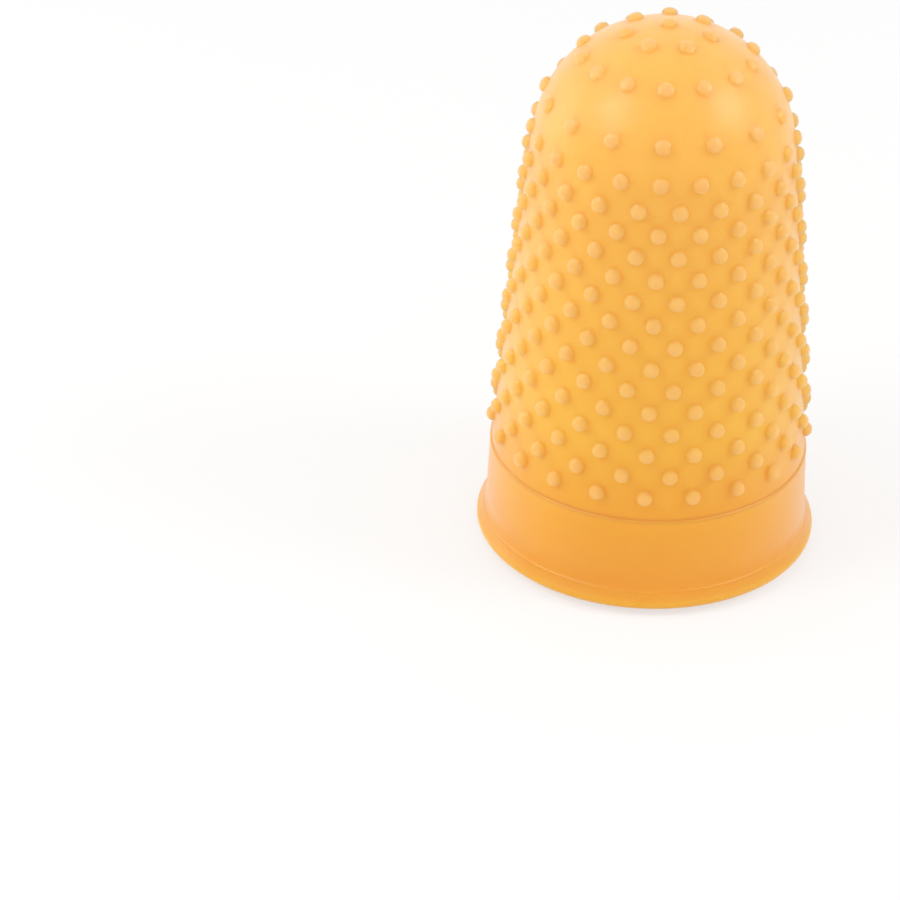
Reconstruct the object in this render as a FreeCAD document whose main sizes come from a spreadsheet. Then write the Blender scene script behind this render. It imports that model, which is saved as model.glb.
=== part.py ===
import FreeCAD, Part
import math
import os
import Sketcher
from FreeCAD import Placement, Rotation, Vector

# Driving sizes in millimetres, degrees and pieces
SIZES = {
    # Rim to the top of the dome, without the top pimple
    "overall_height": 33.7,
    # Rolled lip round the mouth
    "lip_radius": 10.5,
    "lip_height": 1.25,
    "lip_bevel_width": 0.85,
    "lip_bevel_height": 0.55,
    "mouth_bevel": 0.15,
    "flare_height": 1.0,
    # Smooth cuff, a little wider down at the lip, which ends in a ledge inside and out
    "cuff_radius": 9.75,
    "cuff_spread": 0.17,
    "cuff_height": 6.3,
    "cuff_wall": 0.85,
    "ledge_depth": 0.1,
    # Pimpled wall, which leans in towards the dome
    "taper_angle": 5.44,
    "wall_thickness": 0.9,
    # One pimple, from its root inside the rubber to its top
    "pimple_width": 0.94,
    "pimple_top": 0.58,
    "pimple_height": 0.52,
    "pimple_root": 0.2,
    # Staggered rows on the wall: the lowest above the ledge, the highest below the dome
    "row_count": 14,
    "row_pimples": 21,
    "row_start": 1.52,
    "row_end": 0.93,
    # Rings on the dome, each at an angle from the top
    "shoulder_angle": 79.8,
    "upper_angle": 63.7,
    "upper_pimples": 15,
    "crown_angle": 39.5,
    "crown_pimples": 14,
    "tip_angle": 18.4,
    "tip_pimples": 7,
}

# What follows from them: the dome is tangent to the wall and reaches the overall height
WALL_FOOT = "(Sizes.cuff_radius - Sizes.ledge_depth)"
LEAN = "tan(Sizes.taper_angle)"
WALL_RUN = f"({WALL_FOOT} - (Sizes.overall_height - Sizes.cuff_height) * {LEAN})"
DOME_RADIUS = f"({WALL_RUN} / (1 / cos(Sizes.taper_angle) - {LEAN}))"
DOME_CENTRE = f"(Sizes.overall_height - {DOME_RADIUS})"
DOME_FOOT = f"({DOME_CENTRE} + {DOME_RADIUS} * sin(Sizes.taper_angle))"
FIRST_ROW = "(Sizes.cuff_height + Sizes.row_start)"
ROW_PITCH = f"(({DOME_FOOT} - {FIRST_ROW} - Sizes.row_end) / (Sizes.row_count - 1))"


def origin_part(body, role):
    return next(item for item in body.Origin.OriginFeatures if item.Role == role)


def half_section(body, name, corners, centre, radius):
    """Closed half section: straight runs out and up from the axis, then a round dome."""
    sketch = body.newObject("Sketcher::SketchObject", name)
    sketch.AttachmentSupport = [(origin_part(body, "XZ_Plane"), "")]
    sketch.MapMode = "FlatFace"
    lean = math.radians(SIZES["taper_angle"])
    foot = (radius * math.cos(lean), centre + radius * math.sin(lean))
    points = [Vector(0, 0, 0)] + [Vector(r, z, 0) for r, z in corners + [foot]]
    runs = list(zip(points, points[1:]))
    for start, end in runs:
        sketch.addGeometry(Part.LineSegment(start, end))
    circle = Part.Circle(Vector(0, centre, 0), Vector(0, 0, 1), radius)
    dome = sketch.addGeometry(Part.ArcOfCircle(circle, lean, math.pi / 2))
    axis = sketch.addGeometry(Part.LineSegment(Vector(0, centre + radius, 0), Vector(0, 0, 0)))
    for line, (start, end) in enumerate(runs):
        if start.x == end.x:
            sketch.addConstraint(Sketcher.Constraint("Vertical", line))
        if start.y == end.y:
            sketch.addConstraint(Sketcher.Constraint("Horizontal", line))
        if line > 0:
            sketch.addConstraint(Sketcher.Constraint("Coincident", line - 1, 2, line, 1))
    sketch.addConstraint(Sketcher.Constraint("Tangent", dome - 1, 2, dome, 1))
    sketch.addConstraint(Sketcher.Constraint("Coincident", dome, 2, axis, 1))
    sketch.addConstraint(Sketcher.Constraint("Coincident", axis, 2, 0, 1))
    sketch.addConstraint(Sketcher.Constraint("Coincident", 0, 1, -1, 1))
    sketch.addConstraint(Sketcher.Constraint("PointOnObject", dome, 2, -2))
    sketch.addConstraint(Sketcher.Constraint("PointOnObject", dome, 3, -2))
    bind(sketch, "dome_centre", "DistanceY", (-1, 1, dome, 3), DOME_CENTRE)
    return sketch, dome


def bind(sketch, name, kind, places, formula):
    """Named distance between two points of a sketch, driven by a formula."""
    span = sketch.getPoint(*places[2:]) - sketch.getPoint(*places[:2])
    value = span.x if kind == "DistanceX" else span.y
    index = sketch.addConstraint(Sketcher.Constraint(kind, *places, value))
    sketch.renameConstraint(index, name)
    sketch.setExpression("Constraints." + name, formula)


def revolved(body, kind, name, sketch):
    turned = body.newObject(kind, name)
    turned.Profile = sketch
    turned.ReferenceAxis = (sketch, ["V_Axis"])
    turned.Angle = 360
    sketch.Visibility = False
    return turned


def turned_plane(body, name, angle):
    """Upright plane through the axis, turned about it from the front."""
    plane = body.newObject("PartDesign::Plane", name)
    plane.AttachmentSupport = [(origin_part(body, "YZ_Plane"), "")]
    plane.MapMode = "FlatFace"
    plane.AttachmentOffset = Placement(Vector(), Rotation(Vector(0, 1, 0), 1))
    plane.setExpression("AttachmentOffset.Rotation.Angle", angle)
    return plane


def pimple(body, name, plane, radius, height, tilt):
    """One pimple square to the rubber, its side view drawn on the plane: tilt 0 points up."""
    sketch = body.newObject("Sketcher::SketchObject", name + "Side")
    sketch.AttachmentSupport = [(plane, "")]
    sketch.MapMode = "FlatFace"
    sketch.AttachmentOffset = Placement(Vector(), Rotation(Vector(0, 0, 1), 1))
    sketch.setExpression("AttachmentOffset.Base.x", f"-{radius}")
    sketch.setExpression("AttachmentOffset.Base.y", height)
    sketch.setExpression("AttachmentOffset.Rotation.Angle", tilt)
    foot = SIZES["pimple_width"] / 2
    top = SIZES["pimple_top"] / 2
    root = -SIZES["pimple_root"]
    rise = SIZES["pimple_height"]
    corners = [Vector(-foot, root, 0), Vector(foot, root, 0), Vector(top, rise, 0), Vector(-top, rise, 0)]
    for start, end in zip(corners, corners[1:] + corners[:1]):
        sketch.addGeometry(Part.LineSegment(start, end))
    for line in range(4):
        sketch.addConstraint(Sketcher.Constraint("Coincident", line, 2, (line + 1) % 4, 1))
    sketch.addConstraint(Sketcher.Constraint("Symmetric", 0, 1, 0, 2, -2))
    sketch.addConstraint(Sketcher.Constraint("Symmetric", 2, 1, 2, 2, -2))
    slope = "(Sizes.pimple_width - Sizes.pimple_top) / Sizes.pimple_height"
    root_width = f"Sizes.pimple_width + {slope} * Sizes.pimple_root"
    bind(sketch, "root_width", "DistanceX", (0, 1, 0, 2), root_width)
    bind(sketch, "top_width", "DistanceX", (2, 2, 2, 1), "Sizes.pimple_top")
    bind(sketch, "root", "DistanceY", (0, 1, -1, 1), "Sizes.pimple_root")
    bind(sketch, "rise", "DistanceY", (-1, 1, 2, 1), "Sizes.pimple_height")
    pad = body.newObject("PartDesign::Pad", name)
    pad.Profile = sketch
    pad.Midplane = True
    pad.setExpression("Length", "(Sizes.pimple_width + Sizes.pimple_top) / 2")
    pad.Refine = False
    sketch.Visibility = False
    return pad


def dome_pimple(body, name, plane, angle):
    height = f"({DOME_CENTRE} + {DOME_RADIUS} * cos({angle}))"
    return pimple(body, name, plane, f"({DOME_RADIUS} * sin({angle}))", height, angle)


def wall_rows(body, name, plane, row):
    """Every second row of the wall from this one up, repeated along the wall and round it."""
    height = f"({FIRST_ROW} + {row} * {ROW_PITCH})"
    radius = f"({WALL_FOOT} - ({height} - Sizes.cuff_height) * {LEAN})"
    seed = pimple(body, name + "Seed", plane, radius, height, "90 - Sizes.taper_angle")
    many = body.newObject("PartDesign::MultiTransform", name)
    many.Originals = [seed]
    up = body.newObject("PartDesign::LinearPattern", name + "Up")
    up.Direction = (seed.Profile[0], ["H_Axis"])
    up.Mode = "Spacing"
    up.setExpression("Offset", f"2 * {ROW_PITCH} / cos(Sizes.taper_angle)")
    up.setExpression("Occurrences", f"floor((Sizes.row_count + {1 - row}) / 2)")
    many.Transformations = [up, turns(body, name + "Round", "Sizes.row_pimples")]
    many.Refine = False
    body.Tip = many
    return many


def turns(body, name, count):
    pattern = body.newObject("PartDesign::PolarPattern", name)
    pattern.Axis = (origin_part(body, "Z_Axis"), [""])
    pattern.Angle = 360
    pattern.setExpression("Occurrences", count)
    return pattern


def ring(body, name, seed, count):
    pattern = turns(body, name, count)
    pattern.Originals = [seed]
    pattern.Refine = False
    body.Tip = pattern
    return pattern


doc = FreeCAD.newDocument("RubberFingerTip")
sheet = doc.addObject("Spreadsheet::Sheet", "Sizes")
for line, (alias, value) in enumerate(SIZES.items(), start=1):
    sheet.set(f"A{line}", alias)
    sheet.set(f"B{line}", str(value))
    sheet.setAlias(f"B{line}", alias)
doc.recompute()

finger_tip = doc.addObject("PartDesign::Body", "finger_tip")
finger_tip.Label = "finger_tip"
finger_tip.Placement = Placement(Vector(0, 0, 0), Rotation())

# Outside: rim, lip, flare, cuff, ledge, leaning wall and dome, turned about the axis
lean = math.radians(SIZES["taper_angle"])
lip = SIZES["lip_radius"]
cuff = SIZES["cuff_radius"]
ledge = SIZES["cuff_height"]
wall_foot = cuff - SIZES["ledge_depth"]
wall_run = wall_foot - (SIZES["overall_height"] - ledge) * math.tan(lean)
dome_radius = wall_run / (1 / math.cos(lean) - math.tan(lean))
dome_centre = SIZES["overall_height"] - dome_radius
outside = [
    (lip - SIZES["lip_bevel_width"], 0),
    (lip, SIZES["lip_bevel_height"]),
    (lip, SIZES["lip_height"]),
    (cuff + SIZES["cuff_spread"], SIZES["lip_height"] + SIZES["flare_height"]),
    (cuff, ledge),
    (wall_foot, ledge),
]
outer, dome = half_section(finger_tip, "Outside", outside, dome_centre, dome_radius)
bind(outer, "lip_radius", "DistanceX", (-1, 1, 2, 1), "Sizes.lip_radius")
bind(outer, "bevel_width", "DistanceX", (1, 1, 1, 2), "Sizes.lip_bevel_width")
bind(outer, "bevel_height", "DistanceY", (1, 1, 1, 2), "Sizes.lip_bevel_height")
bind(outer, "lip_height", "DistanceY", (-1, 1, 2, 2), "Sizes.lip_height")
bind(outer, "flare_height", "DistanceY", (3, 1, 3, 2), "Sizes.flare_height")
bind(outer, "cuff_foot", "DistanceX", (-1, 1, 4, 1), "Sizes.cuff_radius + Sizes.cuff_spread")
bind(outer, "cuff_radius", "DistanceX", (-1, 1, 4, 2), "Sizes.cuff_radius")
bind(outer, "cuff_height", "DistanceY", (-1, 1, 4, 2), "Sizes.cuff_height")
bind(outer, "wall_foot", "DistanceX", (-1, 1, 5, 2), WALL_FOOT)
bind(outer, "overall_height", "DistanceY", (-1, 1, dome, 2), "Sizes.overall_height")
revolved(finger_tip, "PartDesign::Revolution", "Form", outer)
doc.recompute()
full_volume = finger_tip.Shape.Volume

# Finger space: the same form, set in by the rubber's thickness, with its own ledge
bore = cuff - SIZES["cuff_wall"]
thickness = SIZES["wall_thickness"]
inside = [
    (bore + SIZES["mouth_bevel"], 0),
    (bore, SIZES["mouth_bevel"]),
    (bore, ledge),
    (wall_foot - thickness / math.cos(lean), ledge),
]
inner, dome = half_section(finger_tip, "Inside", inside, dome_centre, dome_radius - thickness)
bind(inner, "bevel_width", "DistanceX", (1, 2, 1, 1), "Sizes.mouth_bevel")
bind(inner, "bevel_height", "DistanceY", (1, 1, 1, 2), "Sizes.mouth_bevel")
bind(inner, "bore_radius", "DistanceX", (-1, 1, 2, 1), "Sizes.cuff_radius - Sizes.cuff_wall")
bind(inner, "cuff_height", "DistanceY", (-1, 1, 2, 2), "Sizes.cuff_height")
inner_foot = f"{WALL_FOOT} - Sizes.wall_thickness / cos(Sizes.taper_angle)"
bind(inner, "wall_foot", "DistanceX", (-1, 1, 3, 2), inner_foot)
inner_top = "Sizes.overall_height - Sizes.wall_thickness"
bind(inner, "dome_top", "DistanceY", (-1, 1, dome, 2), inner_top)
revolved(finger_tip, "PartDesign::Groove", "FingerSpace", inner)
doc.recompute()

# Pimples: every other row of the wall stands half a pitch round, so they lie like bricks
pimples = doc.addObject("PartDesign::Body", "Pimples")
pimples.AllowCompound = True
front = origin_part(pimples, "YZ_Plane")
shoulder = dome_pimple(pimples, "ShoulderPimple", front, "Sizes.shoulder_angle")
ring(pimples, "ShoulderPimples", shoulder, "Sizes.row_pimples")
upper = dome_pimple(pimples, "UpperPimple", front, "Sizes.upper_angle")
ring(pimples, "UpperPimples", upper, "Sizes.upper_pimples")
crown = dome_pimple(pimples, "CrownPimple", front, "Sizes.crown_angle")
ring(pimples, "CrownPimples", crown, "Sizes.crown_pimples")
beside = turned_plane(pimples, "BesideFront", "180 / Sizes.tip_pimples")
tip = dome_pimple(pimples, "TipPimple", beside, "Sizes.tip_angle")
ring(pimples, "TipPimples", tip, "Sizes.tip_pimples")
dome_pimple(pimples, "TopPimple", front, "0")
between = turned_plane(pimples, "BetweenPimples", "180 / Sizes.row_pimples")
wall_rows(pimples, "FrontRows", front, 0)
wall_rows(pimples, "BetweenRows", between, 1)
doc.recompute()

whole = finger_tip.newObject("PartDesign::Boolean", "Pimpled")
whole.Type = "Fuse"
whole.addObject(pimples)
whole.Refine = False
finger_tip.Tip = whole
doc.recompute()

for item in doc.Objects:
    if "Invalid" in item.State or "Error" in item.State:
        raise RuntimeError(f"{item.Label} did not build: {item.State}")
rubber = finger_tip.Shape
if rubber.isNull() or not rubber.isValid():
    raise RuntimeError("finger_tip has no valid shape")
if len(rubber.Solids) != 1:
    raise RuntimeError("finger_tip is not one solid")
if rubber.Volume > 0.5 * full_volume:
    raise RuntimeError("finger_tip has no finger space")

os.makedirs("parts", exist_ok=True)
rubber.exportStep("parts/finger_tip.step")
print("finger_tip", round(rubber.Volume, 1), "mm3,", len(rubber.Faces), "faces")
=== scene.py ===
import bmesh
import bpy
import math
import numpy as np
from mathutils import Matrix, Vector, geometry


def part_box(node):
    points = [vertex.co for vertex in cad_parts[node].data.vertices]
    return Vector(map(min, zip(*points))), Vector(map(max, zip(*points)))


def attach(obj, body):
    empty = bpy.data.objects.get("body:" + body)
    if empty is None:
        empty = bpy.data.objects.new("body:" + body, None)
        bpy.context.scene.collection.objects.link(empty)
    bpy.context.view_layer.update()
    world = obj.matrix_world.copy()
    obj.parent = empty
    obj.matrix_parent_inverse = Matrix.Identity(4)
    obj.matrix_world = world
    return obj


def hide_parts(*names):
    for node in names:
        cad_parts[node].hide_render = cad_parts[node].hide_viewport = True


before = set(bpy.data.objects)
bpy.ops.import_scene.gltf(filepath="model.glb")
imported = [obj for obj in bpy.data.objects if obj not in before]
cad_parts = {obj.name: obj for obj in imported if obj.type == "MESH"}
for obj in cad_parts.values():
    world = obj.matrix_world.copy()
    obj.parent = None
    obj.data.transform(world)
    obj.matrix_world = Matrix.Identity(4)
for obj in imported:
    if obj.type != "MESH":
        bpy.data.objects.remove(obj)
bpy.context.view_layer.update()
mm = 0.001

# Sizes of the moulding in millimetres and degrees; the outer size comes from the frame
rubber = {
    "wall": 0.9,             # rubber in the wall and dome
    "cuffWall": 0.85,        # rubber in the cuff
    "lean": 5.44,            # how much the wall leans in
    "ledge": 6.3,            # height of the ledge at the top of the cuff
    "ledgeDepth": 0.1,       # step in from the cuff to the wall
    "cuffInset": 0.75,       # step in from the lip to the top of the cuff
    "cuffSpread": 0.17,      # how much wider the cuff is at its foot
    "flareTop": 2.3,         # where the cuff begins to spread into the lip
    "flareCurve": 1.8,       # above 1 the flare spreads late
    "flareEnd": 0.98,        # share of it after which the lip's face follows
    "flareSteps": 9,         # points down it, and as many again over the seam
    "seam": 1.55,            # height of the fine ridge above the lip
    "seamRise": 0.045,       # how far that ridge stands out
    "seamWidth": 0.045,      # its half width
    "seamSpan": 0.09,        # half the share of the flare that gets its close points
    "rimInset": 0.92,        # lip to the outer edge of the flat rim
    "rimEase": 0.03,         # how far inside that edge the rim is flat
    "rimSteps": 4,
    "rimSlope": 32,          # slope of the underside of the lip
    "lipRound": 0.35,        # radius of the lip's face
    "lipTurn": 46,           # where that face ends above, from level
    "lipSteps": 14,
    "mouthBevel": 0.15,      # eased inner edge of the rim
    "boreTurn": -160,        # where the mouth's rounding runs into the bore
    "boreSteps": 5,
    "eased": 0.1,            # radius of the small edges
    "weld": 0.002,           # points closer than this become one
    "ledgeRidge": 0.015,     # how far the fine ridge along the ledge stands out
    # points as steps out and up: from the foot of the wall at the ledge, and from the ridge's crest
    "ledgeFoot": [(-0.02, 0.3), (0.0, 0.08), (0.012, 0.03), (0.05, 0.0)],
    "ledgeCrest": [(-0.03, -0.015), (0.0, -0.07), (-0.012, -0.16)],
    "cuffSteps": [0.34, 1.4, 2.6],   # how far below the ledge the cuff has a point
    # the same inside: from the mouth's bevel, from the bore at the ledge, and from the wall there
    "boreFoot": [(0.01, 0.25), (0.0, 0.8)],
    "boreTop": [(0.0, -2.0), (0.0, -0.1), (-0.03, -0.02)],
    "innerLedge": [(0.1, 0.01), (0.07, 0.1)],
}

# The pimples, and the soft hollow behind each of them
pimple = {
    "rise": 0.52,            # how far one stands off the wall
    "domeRise": 0.4,         # the same on the dome, where they are lower
    "radius": 0.475,         # of one, without its soft foot
    "skirt": 1.14,           # how far the soft foot reaches, in radii
    "skirtRise": 0.05,       # where the crown meets that foot, as a share of the rise
    "fullness": 0.85,        # below 1 the crown is fuller than a round one
    "crownRings": 5,         # from the middle to the edge of the crown
    "sides": 12,             # corners of each ring
    "rows": 14,              # staggered rows on the wall
    "perRow": 21,            # pimples in each of them
    "rowStart": 1.52,        # ledge to the lowest row
    "rowEnd": 1.06,          # highest row to the foot of the dome
    "dimple": 0.16,          # depth of the hollow behind each
    "dimpleRadius": 0.46,
    "dimpleRings": [(0.0, 1.0), (0.7, 0.9), (0.92, 0.45), (1.06, 0.0)],  # radii out, share of depth
    "fillStep": 5.0,         # degrees between the points that fill the dome
    "fillClear": 0.22,       # how far those stay off a pimple
    "domeRings": [           # degrees from the top, how many, share of a pitch that they are turned
        (80.6, 21, 0.0),
        (64.4, 15, 0.0),
        (40.0, 14, 0.0),
        (18.6, 7, 0.5),
        (0.0, 1, 0.0),
    ],
}

# The dome touches the leaning wall, so its radius follows from the height and the foot of the wall.
# A run is a distance up the slope from the ledge, and wallRun is where the dome begins.
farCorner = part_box("finger_tip")[1]
lean = math.radians(rubber["lean"])
lipRadius = farCorner[0] / mm
height = farCorner[2] / mm - pimple["domeRise"]
cuffRadius = lipRadius - rubber["cuffInset"]
footRadius = cuffRadius - rubber["ledgeDepth"]
wallHeight = height - rubber["ledge"]
domeRadius = (footRadius - wallHeight * math.tan(lean)) / (1 / math.cos(lean) - math.tan(lean))
domeCentre = height - domeRadius
wallRun = (domeCentre + domeRadius * math.sin(lean) - rubber["ledge"]) / math.cos(lean)
rowSpan = wallRun * math.cos(lean) - pimple["rowStart"] - pimple["rowEnd"]
rowPitch = rowSpan / (pimple["rows"] - 1) / math.cos(lean)
firstRun = pimple["rowStart"] / math.cos(lean)
pitchTurn = 2 * math.pi / pimple["perRow"]
aroundCount = 4 * pimple["perRow"]    # points round the axis, as many as the cells' borders have
ringAngles = np.arange(pimple["sides"]) / pimple["sides"] * 2 * math.pi
domePlace = np.array([0, 0, domeCentre])


# Outward normal at an angle round the axis: level on a straight wall, tilted up by the lean,
# and on the dome by one radian more for each radius of run
def rubberNormal(turn, run):
    tilt = lean + np.maximum(run - wallRun, 0) / domeRadius
    flat = np.cos(tilt)
    parts = np.broadcast_arrays(flat * np.sin(turn), -flat * np.cos(turn), np.sin(tilt))
    return np.stack(parts, axis=-1)


# Point at an angle round the axis and a distance up the surface from the ledge: a leaning line,
# then an arc, moved out along its own normal by lift
def onRubber(turn, run, lift):
    tilt = lean + np.maximum(run - wallRun, 0) / domeRadius
    onDome = run > wallRun
    radius = np.where(onDome, domeRadius * np.cos(tilt), footRadius - run * math.sin(lean))
    straight = rubber["ledge"] + run * math.cos(lean)
    level = np.where(onDome, domeCentre + domeRadius * np.sin(tilt), straight)
    radius = radius + lift * np.cos(tilt)
    level = level + lift * np.sin(tilt)
    return np.stack([radius * np.sin(turn), -radius * np.cos(turn), level], axis=-1)


# Unit vectors at an angle from the top and an angle round the axis
def rays(polar, turn):
    flat = np.sin(polar)
    return np.stack([flat * np.sin(turn), -flat * np.cos(turn), np.cos(polar)], axis=-1)


# Rings of a pimple from its middle out: reach is a sine, rise a cosine made a little fuller,
# with a low soft foot. Inside, the rings are those of a shallow round hollow.
def beadProfile(outside, rise):
    if outside:
        rings = pimple["crownRings"]
        sweep = (np.arange(rings) / (rings - 1)) ** pimple["fullness"] * math.pi / 2
        reach = np.append(np.sin(sweep), pimple["skirt"]) * pimple["radius"]
        share = np.append(np.cos(sweep) ** pimple["fullness"], 0.0)
        share[rings - 1] = pimple["skirtRise"]
        return reach, share, rise * share
    reach, share = np.array(pimple["dimpleRings"]).T
    lift = pimple["dimple"] * share - rubber["wall"]
    return reach * pimple["dimpleRadius"], np.zeros(len(share)), lift


# One cell round each pimple of the wall: circles in its middle, then as the grid's last ring a
# border half a pitch away all round, which the cells beside, above and below share. Every second
# row is turned by half a pitch.
def wallCells(outside):
    reach, share, lift = beadProfile(outside, pimple["rise"])
    rows = np.arange(pimple["rows"])[:, None]
    places = np.arange(pimple["perRow"])[None, :]
    centreTurn = (places + 0.5 * (rows % 2)) * pitchTurn
    centreRun = np.broadcast_to(firstRun + rows * rowPitch, centreTurn.shape)
    centreTurn = centreTurn.reshape(-1, 1, 1)
    centreRun = centreRun.reshape(-1, 1, 1)
    radiusThere = footRadius - centreRun * math.sin(lean)
    ringTurn = centreTurn + reach[None, :, None] * np.cos(ringAngles) / radiusThere
    ringRun = centreRun + reach[None, :, None] * np.sin(ringAngles)
    # the border's corners, in half pitches
    acrossSteps = np.array([1, 1, 0.5, 0, -0.5, -1, -1, -1, -0.5, 0, 0.5, 1])
    upSteps = np.array([0, 1, 1, 1, 1, 1, 0, -1, -1, -1, -1, -1])
    borderTurn = centreTurn + acrossSteps * pitchTurn / 2
    borderRun = centreRun + upSteps * rowPitch / 2
    turn = np.concatenate([ringTurn, borderTurn], axis=1)
    run = np.concatenate([ringRun, borderRun], axis=1)
    lifts = np.append(lift, lift[-1])[None, :, None]
    shares = np.broadcast_to(np.append(share, 0.0)[None, :, None], turn.shape)
    return onRubber(turn, run, lifts), rubberNormal(turn, run), shares


# Unit vectors from the dome's centre through each of its pimples
def domeDirections():
    rings = []
    for fromTop, count, phase in pimple["domeRings"]:
        turn = (np.arange(count) + phase) / count * 2 * math.pi
        rings.append(rays(np.full(count, math.radians(fromTop)), turn))
    return np.concatenate(rings)


# Rings of the dome's pimples: small circles round each direction, at the dome's radius plus the
# pimple's rise
def domeBeads(outside):
    reach, share, lift = beadProfile(outside, pimple["domeRise"])
    middle = domeDirections()
    aside = np.cross(np.array([0.0, 0.0, 1.0]), middle)
    aside[-1] = (1.0, 0.0, 0.0)
    aside /= np.linalg.norm(aside, axis=1, keepdims=True)
    upward = np.cross(middle, aside)
    outward = np.cos(ringAngles)[:, None] * aside[:, None, :]
    outward = outward + np.sin(ringAngles)[:, None] * upward[:, None, :]
    opening = (reach / domeRadius)[None, :, None, None]
    ray = np.cos(opening) * middle[:, None, None, :] + np.sin(opening) * outward[:, None, :, :]
    distance = (domeRadius + lift)[None, :, None, None]
    shares = np.broadcast_to(share[None, :, None], ray.shape[:3])
    return ray * distance + domePlace, ray, shares


# Quads between neighbouring rings of each cell, as rows of four indices
def ringQuads(cells, rings, sides):
    index = np.arange(cells * rings * sides).reshape(cells, rings, sides)
    following = np.roll(index, -1, axis=2)
    quads = np.stack([index[:, :-1], index[:, 1:], following[:, 1:], following[:, :-1]], axis=-1)
    return quads.reshape(-1, 4)


# Loose points that fill the dome, ring by ring, as angles from the top and round the axis
def domeFill(lowest):
    step = math.radians(pimple["fillStep"])
    fills = [np.zeros((0, 2))]
    for ring in np.arange(1, int(lowest / step)):
        count = int(round(2 * math.pi * math.sin(min(ring * step, math.pi / 2)) / step))
        spin = (np.arange(count) + 0.5 * (ring % 2)) / count * 2 * math.pi
        fills.append(np.stack([np.full(count, ring * step), spin], axis=-1))
    return np.concatenate(fills)


# Triangles between the dome's pimples and the wall's top row, joined on a flat map of the dome
# where the distance from the middle is the angle from the top
def domeSkin(beadRays, lift):
    sides = pimple["sides"]
    skirtRay = beadRays[:, -1].reshape(-1, 3)
    topRun = firstRun + (pimple["rows"] - 0.5) * rowPitch
    turn = np.arange(aroundCount) / aroundCount * 2 * math.pi
    runs = np.full(aroundCount, topRun)
    borderPolar = math.pi / 2 - lean + (wallRun - topRun) / domeRadius
    fill = domeFill(borderPolar)
    fillRay = rays(fill[:, 0], fill[:, 1])
    nearest = np.max(fillRay @ domeDirections().T, axis=1)
    keepOff = (pimple["skirt"] * pimple["radius"] + pimple["fillClear"]) / domeRadius
    clear = nearest < math.cos(keepOff)
    fill = fill[clear]
    fillRay = fillRay[clear]
    skirtPolar = np.arccos(np.clip(skirtRay[:, 2], -1, 1))
    skirtTurn = np.arctan2(skirtRay[:, 0], -skirtRay[:, 1])
    polar = np.concatenate([skirtPolar, np.full(aroundCount, borderPolar), fill[:, 0]])
    turns = np.concatenate([skirtTurn, turn, fill[:, 1]])
    flatMap = np.stack([polar * np.sin(turns), -polar * np.cos(turns)], axis=-1)
    loops = np.arange(len(skirtRay)).reshape(-1, sides)
    loopEdges = np.stack([loops, np.roll(loops, -1, axis=1)], axis=-1).reshape(-1, 2)
    rim = len(skirtRay) + np.arange(aroundCount)
    rimEdges = np.stack([rim, np.roll(rim, -1)], axis=-1)
    edges = np.concatenate([loopEdges, rimEdges]).tolist()
    joined = geometry.delaunay_2d_cdt(flatMap.tolist(), edges, [], 0, 1e-6)
    owners = np.array([source[0] for source in joined[3]])
    faces = owners[np.array(joined[2])]
    # a triangle with all its corners on one pimple's foot lies under that pimple and is left out
    bead = np.where(faces < len(skirtRay), faces // sides, -1 - faces)
    within = (bead[:, 0] == bead[:, 1]) & (bead[:, 1] == bead[:, 2])
    onSkirt = skirtRay * (domeRadius + lift) + domePlace
    onFill = fillRay * (domeRadius + lift) + domePlace
    points = np.concatenate([onSkirt, onRubber(turn, runs, lift), onFill])
    normals = np.concatenate([skirtRay, rubberNormal(turn, runs), fillRay])
    return points, normals, faces[~within]


# Points of an arc in the plane of radius and height; the angles are in degrees
def arcPoints(centre, radius, start, end, count):
    angle = np.radians(np.linspace(start, end, count))
    return np.stack([centre[0] + radius * np.cos(angle), centre[1] + radius * np.sin(angle)], axis=-1)


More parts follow.
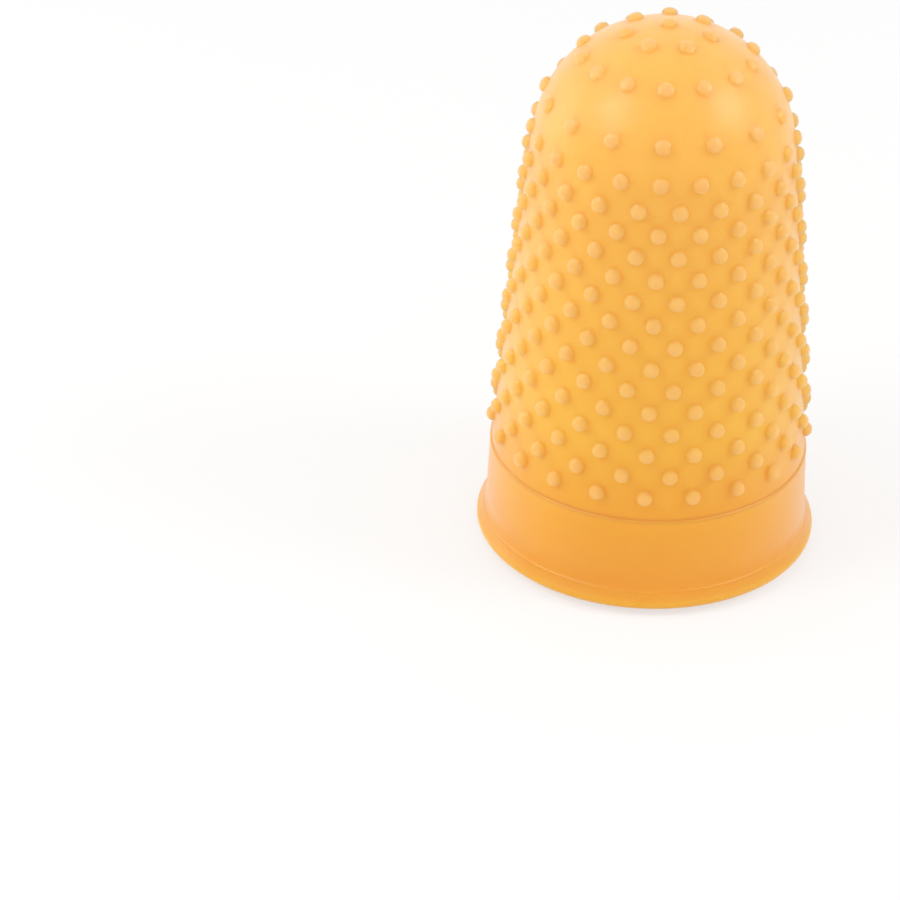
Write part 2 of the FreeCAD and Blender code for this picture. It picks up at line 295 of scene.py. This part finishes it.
# Half section as radius and height, from the lowest row's edge down the cuff, round the lip and
# up the bore, and the place in it where the inside begins
def mouthProfile():
    ledge = rubber["ledge"]
    bore = cuffRadius - rubber["cuffWall"]
    start = np.array([firstRun - rowPitch / 2])
    outerStart = onRubber(np.zeros(1), start, 0.0)[0]
    innerStart = onRubber(np.zeros(1), start, -rubber["wall"])[0]
    spread = rubber["cuffSpread"] / (ledge - rubber["flareTop"])
    crest = cuffRadius + rubber["ledgeRidge"]
    outer = [(-outerStart[1], outerStart[2])]
    outer += [(footRadius + out, ledge + up) for out, up in rubber["ledgeFoot"]]
    outer += [(crest + out, ledge + up) for out, up in rubber["ledgeCrest"]]
    outer += [(cuffRadius + down * spread, ledge - down) for down in rubber["cuffSteps"]]
    # the lip's round face touches the lip radius and the underside, which slopes up from the rim
    lipRound = rubber["lipRound"]
    eased = rubber["eased"]
    under = rubber["rimSlope"] - 90
    slope = math.radians(rubber["rimSlope"])
    rimEdge = lipRadius - rubber["rimInset"]
    level = (lipRound + (lipRadius - lipRound - rimEdge) * math.sin(slope)) / math.cos(slope)
    lipCentre = (lipRadius - lipRound, level)
    face = arcPoints(lipCentre, lipRound, rubber["lipTurn"], under, rubber["lipSteps"])
    rimCentre = (rimEdge - rubber["rimEase"], eased)
    rimRound = arcPoints(rimCentre, eased, under, -90, rubber["rimSteps"])
    boreCentre = (bore + rubber["mouthBevel"], eased)
    boreRound = arcPoints(boreCentre, eased, -90, rubber["boreTurn"], rubber["boreSteps"])
    # the flare is a power curve down to the face, with the fine ridge laid over it as a bell curve
    steps = rubber["flareSteps"]
    span = rubber["seamSpan"]
    drop = rubber["flareTop"] - face[0, 1]
    nearSeam = (rubber["flareTop"] - rubber["seam"]) / drop + np.linspace(-span, span, steps)
    blend = np.sort(np.append(np.linspace(0, rubber["flareEnd"], steps), nearSeam))
    flareLevel = rubber["flareTop"] - drop * blend
    cuffFoot = cuffRadius + rubber["cuffSpread"]
    flareRadius = cuffFoot + (face[0, 0] - cuffFoot) * blend ** rubber["flareCurve"]
    offSeam = (flareLevel - rubber["seam"]) / rubber["seamWidth"]
    flareRadius = flareRadius + rubber["seamRise"] * np.exp(-offSeam ** 2)
    flare = np.stack([flareRadius, flareLevel], axis=-1)
    innerWall = -innerStart[1]
    inner = [(bore + out, rubber["mouthBevel"] + up) for out, up in rubber["boreFoot"]]
    inner += [(bore + out, ledge + up) for out, up in rubber["boreTop"]]
    inner += [(innerWall + out, ledge + up) for out, up in rubber["innerLedge"]]
    inner.append((innerWall, innerStart[2]))
    parts = [np.array(outer), flare, face, rimRound, boreRound, np.array(inner)]
    return np.concatenate(parts), sum(len(part) for part in parts[:-1])


# The profile turned about the axis, as a grid of points, round by profile
def turned(profile):
    turn = np.arange(aroundCount)[:, None] / aroundCount * 2 * math.pi
    radius = profile[None, :, 0]
    level = np.broadcast_to(profile[None, :, 1], (aroundCount, len(profile)))
    return np.stack([radius * np.sin(turn), -radius * np.cos(turn), level], axis=-1)


# The whole moulding as one closed skin: cells, dome and mouth, outside and inside, merged. Its
# points carry how far up a pimple they are, whether they are inside, and on the wall and dome the
# normal that the rubber would have without its pimples.
def buildTip():
    points = []
    faces = []
    shades = {"bead": [], "inside": [], "plainNormal": []}
    total = 0

    # Appends a grid of points and its faces, counted on from the points before
    def add(grid, newFaces, plain, bead, inside):
        nonlocal total
        count = grid.size // 3
        points.append(grid.reshape(-1, 3))
        faces.extend((newFaces + total).tolist())
        shades["plainNormal"].append(np.broadcast_to(plain, grid.shape).reshape(-1))
        shades["bead"].append(np.broadcast_to(bead, grid.shape[:-1]).reshape(-1))
        shades["inside"].append(np.broadcast_to(inside, grid.shape[:-1]).reshape(-1))
        total += count

    for inside in (0.0, 1.0):
        facing = 1 - 2 * inside
        cells, cellNormals, cellShares = wallCells(not inside)
        add(cells, ringQuads(*cells.shape[:3]), cellNormals * facing, cellShares, inside)
        beads, beadRays, beadShares = domeBeads(not inside)
        add(beads, ringQuads(*beads.shape[:3]), beadRays * facing, beadShares, inside)
        skin, skinNormals, triangles = domeSkin(beadRays, -rubber["wall"] * inside)
        add(skin, triangles, skinNormals * facing, 0.0, inside)
    profile, mouthStart = mouthProfile()
    lathe = turned(profile)
    index = np.arange(lathe.shape[0] * lathe.shape[1]).reshape(lathe.shape[:2])
    beside = np.roll(index, -1, axis=0)
    strip = np.stack([index[:, :-1], beside[:, :-1], beside[:, 1:], index[:, 1:]], axis=-1)
    add(lathe, strip.reshape(-1, 4), 0.0, 0.0, np.arange(len(profile)) >= mouthStart)

    mesh = bpy.data.meshes.new("fingerTip")
    mesh.from_pydata((np.concatenate(points) * mm).tolist(), [], faces)
    for name, values in shades.items():
        kind, field = ("FLOAT_VECTOR", "vector") if name == "plainNormal" else ("FLOAT", "value")
        layer = mesh.attributes.new(name, kind, "POINT")
        layer.data.foreach_set(field, np.concatenate(values).astype(np.float32))
    work = bmesh.new()
    work.from_mesh(mesh)
    bmesh.ops.remove_doubles(work, verts=work.verts, dist=rubber["weld"] * mm)
    bmesh.ops.recalc_face_normals(work, faces=work.faces)
    openEdges = sum(1 for edge in work.edges if not edge.is_manifold)
    volume = work.calc_volume(signed=True) / mm ** 3
    work.to_mesh(mesh)
    work.free()
    mesh.polygons.foreach_set("use_smooth", np.ones(len(mesh.polygons), dtype=bool))
    mesh.update()
    triangles = sum(len(face.vertices) - 2 for face in mesh.polygons)
    print("finger tip:", triangles, "triangles,", openEdges, "open edges,", round(volume), "mm3")
    tip = bpy.data.objects.new("fingerTip", mesh)
    bpy.context.collection.objects.link(tip)
    return tip


# One output socket of a node; sums, differences and products of it add their own Math nodes
class Tone:
    def __init__(self, board, socket):
        self.board = board
        self.socket = socket

    def combine(self, operation, first, second):
        return self.board.node("ShaderNodeMath", {"operation": operation}, {0: first, 1: second})

    def __add__(self, other):
        return self.combine("ADD", self, other)

    def __sub__(self, other):
        return self.combine("SUBTRACT", self, other)

    def __rsub__(self, other):
        return self.combine("SUBTRACT", other, self)

    def __mul__(self, other):
        return self.combine("MULTIPLY", self, other)

    __radd__ = __add__
    __rmul__ = __mul__


# The node tree of one material, which starts empty
class Board:
    def __init__(self, name):
        self.material = bpy.data.materials.new(name)
        self.material.use_nodes = True
        self.tree = self.material.node_tree
        self.tree.nodes.clear()

    # One node of a kind: its settings first, then a number or a link for each socket named
    def node(self, kind, settings=None, values=None, output=0):
        made = self.tree.nodes.new(kind)
        for name, value in (settings or {}).items():
            if name == "stops":
                self.setStops(made.color_ramp.elements, value)
            else:
                setattr(made, name, value)
        for name, value in (values or {}).items():
            if isinstance(value, Tone):
                self.tree.links.new(value.socket, made.inputs[name])
            else:
                made.inputs[name].default_value = value
        return Tone(self, made.outputs[output]) if made.outputs else None

    # The first and last stops take a ramp's own two elements, and the others are added between
    def setStops(self, elements, stops):
        for element, (place, colour) in ((elements[0], stops[0]), (elements[-1], stops[-1])):
            element.position = place
            element.color = colour
        for place, colour in stops[1:-1]:
            elements.new(place).color = colour

    # Two colours, blended by a share of the second
    def mix(self, share, first, second):
        values = {0: share, 6: first, 7: second}
        return self.node("ShaderNodeMix", {"data_type": "RGBA"}, values, 2)

    # One Vector Math node
    def vector(self, operation, values):
        return self.node("ShaderNodeVectorMath", {"operation": operation}, values)

    # Joins a shader to the surface and gives the finished material
    def finish(self, shader):
        self.node("ShaderNodeOutputMaterial", values={"Surface": shader})
        return self.material


# The amber rubber, cloudy and a little dusty
amber = {
    "colours": [                          # height in millimetres, colour there
        (0.5, (0.80, 0.36, 0.022, 1)),
        (6.05, (0.83, 0.395, 0.022, 1)),
        (6.3, (0.66, 0.30, 0.026, 1)),    # the shaded line of the ledge
        (6.5, (0.84, 0.395, 0.025, 1)),
        (11.0, (0.91, 0.485, 0.046, 1)),
        (20.0, (0.92, 0.490, 0.064, 1)),
        (32.0, (0.90, 0.478, 0.086, 1)),
    ],
    "bead": (0.88, 0.355, 0.14, 1),       # the pinker crowns of the pimples, darkened too as painted shade against the light they catch
    "crownTintAndShade": 0.75,                    # how much of that tint and painted shade shows on a crown
    "mottle": 0.08,                       # unevenness of the colour
    "mottleSize": 5.0,                    # millimetres
    "roughness": 0.37,
    "roughGrain": 0.12,                   # how much the grain changes the roughness
    "bloom": 0.54,                        # dusty paleness towards the outline
    "bloomRough": 0.45,
    "bloomTint": (0.93, 0.82, 0.88, 1),
    "grain": 0.012,                       # depth of the moulded grain in millimetres
    "grainSize": 0.35,
    "bend": 1.5,                          # index of refraction
    "softness": 0.5,                      # how far a pimple is shaded as the rubber round it
    "glow": (2.6, 2.2, 1.2),              # how far red, green and blue spread, in millimetres
    "paintedGlow": (0.21, 0.147, 0.021, 1),      # painted glow of the inner skin, standing in for light that the walls pass to and fro in the finger space
}


# Colour by height, pinker and darkened as painted shade on the crowns, a little cloudy, and with a
# painted glow on the inner skin. The pimples take part of their shading normal from the rubber under
# them, as light spreads right through one.
def rubberMaterial():
    board = Board("amberRubber")
    place = board.node("ShaderNodeTexCoord", output=3)
    level = board.node("ShaderNodeSeparateXYZ", values={"Vector": place}, output=2)
    top = height * mm
    share = board.node("ShaderNodeMapRange", values={"Value": level, "From Min": 0.0, "From Max": top})
    stops = [(where / height, colour) for where, colour in amber["colours"]]
    body = board.node("ShaderNodeValToRGB", {"stops": stops}, {"Fac": share})
    cloudScale = 1 / (amber["mottleSize"] * mm)
    cloud = board.node("ShaderNodeTexNoise", values={"Vector": place, "Scale": cloudScale})
    grainValues = {"Vector": place, "Scale": 1 / (amber["grainSize"] * mm), "Detail": 3.0}
    grain = board.node("ShaderNodeTexNoise", values=grainValues)
    bead = board.node("ShaderNodeAttribute", {"attribute_name": "bead"}, output=2)
    # the crowns take a pinker colour, darkened as painted shade
    colour = board.mix(bead * amber["crownTintAndShade"], body, amber["bead"])
    shade = (cloud - 0.5) * amber["mottle"] + 1.0
    shaded = board.vector("SCALE", {0: colour, "Scale": shade})

    own = board.node("ShaderNodeNewGeometry", output=1)
    carried = board.node("ShaderNodeAttribute", {"attribute_name": "plainNormal"}, output=1)
    turning = {"vector_type": "VECTOR", "convert_from": "OBJECT", "convert_to": "WORLD"}
    plain = board.node("ShaderNodeVectorTransform", turning, {"Vector": carried})
    ownPart = board.vector("SCALE", {0: own, "Scale": 1 - amber["softness"]})
    plainPart = board.vector("SCALE", {0: plain, "Scale": amber["softness"]})
    soft = board.vector("NORMALIZE", {0: board.vector("ADD", {0: ownPart, 1: plainPart})})
    bumpValues = {"Height": grain, "Distance": amber["grain"] * mm, "Strength": 1.0, "Normal": soft}
    normal = board.node("ShaderNodeBump", values=bumpValues)

    inside = board.node("ShaderNodeAttribute", {"attribute_name": "inside"}, output=2)
    values = {
        "Base Color": shaded,
        "Roughness": (grain - 0.5) * amber["roughGrain"] + amber["roughness"],
        "Normal": normal,
        "IOR": amber["bend"],
        "Subsurface Weight": 1.0,
        "Subsurface Scale": mm,
        "Subsurface Radius": amber["glow"],
        "Sheen Weight": amber["bloom"],
        "Sheen Roughness": amber["bloomRough"],
        "Sheen Tint": amber["bloomTint"],
        # painted light: the inner skin glows to stand in for light passed to and fro inside the finger
        # space
        "Emission Color": board.mix(inside, (0, 0, 0, 1), amber["paintedGlow"]),
        "Emission Strength": 1.0,
    }
    return board.finish(board.node("ShaderNodeBsdfPrincipled", values=values))


# Floor, sky and lamps
studio = {
    "floor": (0.89, 0.89, 0.885, 1),
    "floorRough": 0.9,
    "floorHalf": 3.0,        # metres
    "floorDrop": 0.01,       # how far it lies under the rim, in millimetres
    "whiteness": 0.64,       # share of pure white that is seen in the floor
    "sky": 0.83,
    "aim": (0, 0, 20),       # what the lamps point at, in millimetres
    "lamps": [               # place in millimetres, size, share of a plain level of light
        ((-143, -71, 168), 105, 0.27),
        ((166, -28, 159), 95, 0.26),
        ((-200, 50, 60), 120, 0.13),
    ],
}


# A pale floor that the camera sees nearly white, an even sky and three soft lamps. A lamp's
# power is its share of the plain level times pi squared times its distance squared.
def buildStudio():
    half = studio["floorHalf"]
    low = -studio["floorDrop"] * mm
    corners = [(-half, -half, low), (half, -half, low), (half, half, low), (-half, half, low)]
    mesh = bpy.data.meshes.new("floor")
    mesh.from_pydata(corners, [], [(0, 1, 2, 3)])
    floor = bpy.data.objects.new("floor", mesh)
    bpy.context.collection.objects.link(floor)
    board = Board("paleFloor")
    plainValues = {"Base Color": studio["floor"], "Roughness": studio["floorRough"]}
    plain = board.node("ShaderNodeBsdfPrincipled", values=plainValues)
    white = board.node("ShaderNodeEmission", values={"Color": (1, 1, 1, 1), "Strength": 1.0})
    toCamera = board.node("ShaderNodeLightPath", output=0)
    toGloss = board.node("ShaderNodeLightPath", output=3)
    toGlass = board.node("ShaderNodeLightPath", output=6)
    seen = (toCamera + toGloss + toGlass) * studio["whiteness"]
    lit = board.node("ShaderNodeMixShader", values={0: seen, 1: plain, 2: white})
    mesh.materials.append(board.finish(lit))

    world = bpy.data.worlds.new("studio")
    world.use_nodes = True
    bpy.context.scene.world = world
    sky = world.node_tree.nodes["Background"]
    sky.inputs["Color"].default_value = (1, 1, 1, 1)
    sky.inputs["Strength"].default_value = studio["sky"]
    for number, (place, size, level) in enumerate(studio["lamps"]):
        spot = Vector(place) * mm
        toward = Vector(studio["aim"]) * mm - spot
        lamp = bpy.data.lights.new(f"lamp{number}", "AREA")
        lamp.shape = "DISK"
        lamp.size = size * mm
        lamp.energy = level * math.pi ** 2 * toward.length_squared
        holder = bpy.data.objects.new(f"lamp{number}", lamp)
        bpy.context.collection.objects.link(holder)
        holder.location = spot
        holder.rotation_mode = "QUATERNION"
        holder.rotation_quaternion = toward.to_track_quat("-Z", "Y")


# The camera
view = {
    "focal": 2997.8,         # pixels of a frame 900 wide
    "frame": 900,
    "sensor": 36,            # millimetres
    "nearest": 5,            # nothing closer than this is seen
    "distance": 180.43,      # millimetres
    "elevation": 28.63,      # degrees
    "aim": 17.0,             # height of the point looked at
    "yaw": 3.764,            # turns of the camera that set the tip right of the middle
    "pitch": -3.357,
    "roll": -2.756,
}


# The camera looks down at a point on the axis and is then turned by yaw, pitch and roll
def placeCamera():
    rise = math.radians(view["elevation"])
    forward = np.array([0, math.cos(rise), -math.sin(rise)])
    right = np.array([1.0, 0, 0])
    up = np.cross(right, forward)
    eye = np.array([0, 0, view["aim"]]) - view["distance"] * forward
    yaw = np.array(Matrix.Rotation(math.radians(view["yaw"]), 3, "Y"))
    pitch = np.array(Matrix.Rotation(math.radians(view["pitch"]), 3, "X"))
    roll = np.array(Matrix.Rotation(math.radians(view["roll"]), 3, "Z"))
    axes = roll @ pitch @ yaw @ np.stack([right, up, forward])
    lens = bpy.data.cameras.new("camera")
    lens.sensor_width = view["sensor"]
    lens.lens = view["focal"] / view["frame"] * lens.sensor_width
    lens.clip_start = view["nearest"] * mm
    camera = bpy.data.objects.new("camera", lens)
    bpy.context.collection.objects.link(camera)
    matrix = np.eye(4)
    matrix[:3, 0] = axes[0]
    matrix[:3, 1] = axes[1]
    matrix[:3, 2] = -axes[2]
    matrix[:3, 3] = eye * mm
    camera.matrix_world = Matrix(matrix.tolist())
    bpy.context.scene.camera = camera


tip = buildTip()
tip.data.materials.append(rubberMaterial())
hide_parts("finger_tip")
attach(tip, "root")
print("materials done")
buildStudio()
placeCamera()
bpy.context.scene.view_settings.view_transform = "Standard"
print("studio done")
